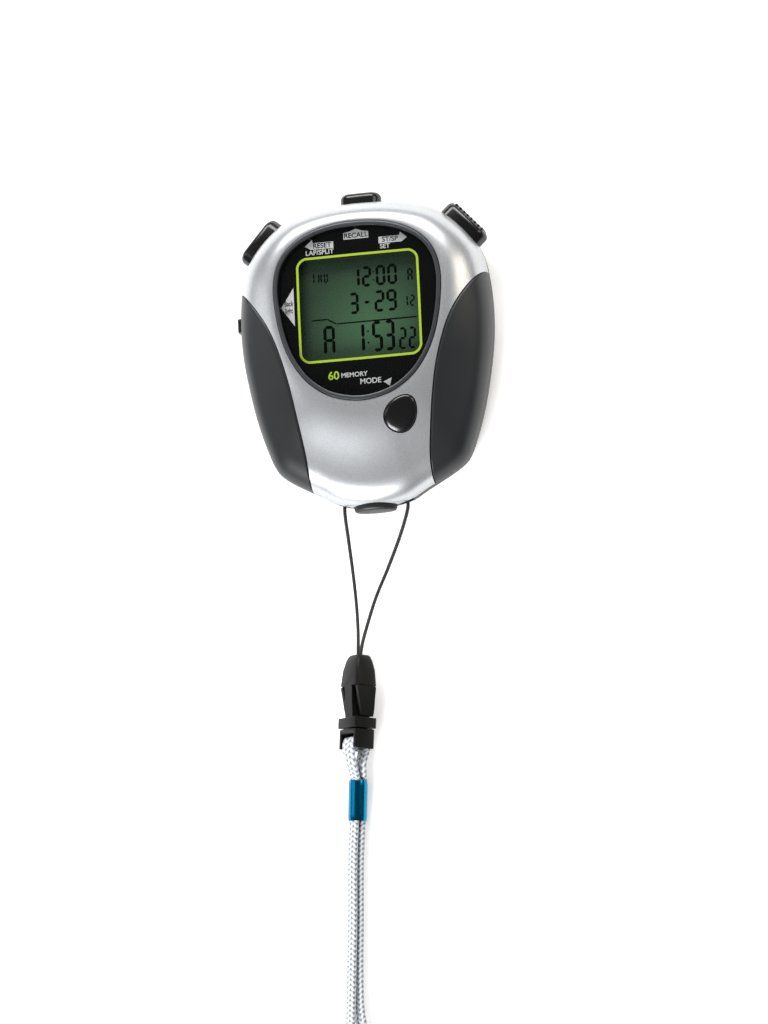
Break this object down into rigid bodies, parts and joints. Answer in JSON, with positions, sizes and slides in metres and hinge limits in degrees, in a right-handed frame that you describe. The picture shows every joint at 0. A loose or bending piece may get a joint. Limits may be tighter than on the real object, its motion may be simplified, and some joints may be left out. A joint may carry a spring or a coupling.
{
  "type": "digital stopwatch",
  "caption": "Hand-held digital sports stopwatch: silver case with rubber side grips, LCD, push buttons, battery hatch and a neck lanyard with a quick-release clip.",
  "frame": {"origin": "middle of the case's footprint, on the surface it lies on; the lanyard isn't counted", "axes": "+Z out of the display, +Y towards the recall button at the head, +X to the right of the display"},
  "size_m": [0.0709, 0.2847, 0.0211],
  "materials": {
    "silver": "metallic silver paint on moulded plastic",
    "rear_black": "finely textured moulding",
    "grip": "matte moulded elastomer",
    "gunmetal": "dark metallic paint",
    "clear": "polished clear acrylic",
    "lcd": "liquid crystal glass with a grey-green polariser",
    "black": "polished black moulding",
    "holder": "plain black moulding",
    "board": "glass-epoxy board with solder mask",
    "white": "translucent light film",
    "zebra": "layered conductive elastomer",
    "steel": "plated steel",
    "brass": "rolled strip",
    "rubber": "moulded ring",
    "silicone": "moulded silicone",
    "lug": "satin dark grey moulding",
    "string": "fine braided cord",
    "blue": "blue anodised sleeve, rolled with a seam",
    "braid": "silver-white braided tube, pressed flat"
  },
  "bodies": {
    "case": {"front_shell": "silver", "rear_shell": "rear_black", "right_grip": "grip", "left_grip": "grip", "lens_bezel": "gunmetal", "lens": "clear", "lcd_panel": "lcd", "clock_chip": "black", "clip_socket": "black", "lcd_holder": "holder", "battery_holder": "holder", "start_stop_switch": "holder", "lap_reset_switch": "holder", "recall_switch": "holder", "backlight_switch": "holder", "circuit_board": "board", "backlight_panel": "white", "zebra_strip_upper": "zebra", "zebra_strip_lower": "zebra", "case_screw_1": "steel", "case_screw_2": "steel", "case_screw_3": "steel", "case_screw_4": "steel", "board_screw_1": "steel", "board_screw_2": "steel", "board_screw_3": "steel", "quartz_crystal": "steel", "coin_cell": "steel", "start_stop_spring": "steel", "lap_reset_spring": "steel", "recall_spring": "steel", "buzzer_spring_centre": "steel", "buzzer_spring_rim": "steel", "battery_contact_negative": "brass", "battery_contact_positive": "brass", "buzzer_disc": "brass", "mode_dome": "silicone", "backlight_dome": "silicone", "strap_lug": "lug", "strap_string": "string"},
    "start_stop": {"start_stop_button": "black"},
    "lap_reset": {"lap_reset_button": "black"},
    "recall": {"recall_button": "black"},
    "mode": {"mode_button": "black"},
    "backlight": {"backlight_button": "black"},
    "hatch": {"battery_hatch": "rear_black", "hatch_seal": "rubber"},
    "lanyard": {"clip_tongue": "black", "cord_ferrule": "blue", "cord_bight": "braid", "cord_strand_left": "braid", "cord_strand_right": "braid", "cord_coil": "braid"},
    "arm_right": {"clip_arm_right": "black"},
    "arm_left": {"clip_arm_left": "black"}
  },
  "joints": [
    {"name": "start_stop_push", "type": "slide", "parent": "case", "child": "start_stop", "axis": [-0.7478, -0.6639, 0], "range_m": [0, 0.0012], "stiffness_N_per_m": 1500, "deforming": ["start_stop_spring"]},
    {"name": "lap_reset_push", "type": "slide", "parent": "case", "child": "lap_reset", "axis": [0.7478, -0.6639, 0], "range_m": [0, 0.0012], "stiffness_N_per_m": 1500, "deforming": ["lap_reset_spring"]},
    {"name": "recall_push", "type": "slide", "parent": "case", "child": "recall", "axis": [0, -1, 0], "range_m": [0, 0.0012], "stiffness_N_per_m": 1500, "deforming": ["recall_spring"]},
    {"name": "mode_push", "type": "slide", "parent": "case", "child": "mode", "axis": [0, 0, -1], "range_m": [0, 0.0007], "stiffness_N_per_m": 2000, "deforming": ["mode_dome"]},
    {"name": "backlight_push", "type": "slide", "parent": "case", "child": "backlight", "axis": [1, 0, 0], "range_m": [0, 0.0006], "stiffness_N_per_m": 2000, "deforming": ["backlight_dome"]},
    {"name": "hatch_turn", "type": "hinge", "parent": "case", "child": "hatch", "pos_m": [0, 0.003, 0], "axis": [0, 0, 1], "range_deg": [0, 50]},
    {"name": "clip_release", "type": "slide", "parent": "case", "child": "lanyard", "axis": [-0.0785, -0.9969, 0], "range_m": [0, 0.013], "deforming": ["clip_arm_right", "clip_arm_left"]},
    {"name": "arm_right_squeeze", "type": "hinge", "parent": "lanyard", "child": "arm_right", "pos_m": [-0.00617, -0.0973, 0.00741], "axis": [-0.7049, 0.0555, 0.7071], "range_deg": [0, 6], "stiffness_Nm_per_rad": 0.15},
    {"name": "arm_left_squeeze", "type": "hinge", "parent": "lanyard", "child": "arm_left", "pos_m": [-0.01018, -0.09698, 0.00338], "axis": [0.7049, -0.0555, -0.7071], "range_deg": [0, 6], "stiffness_Nm_per_rad": 0.15}
  ]
}
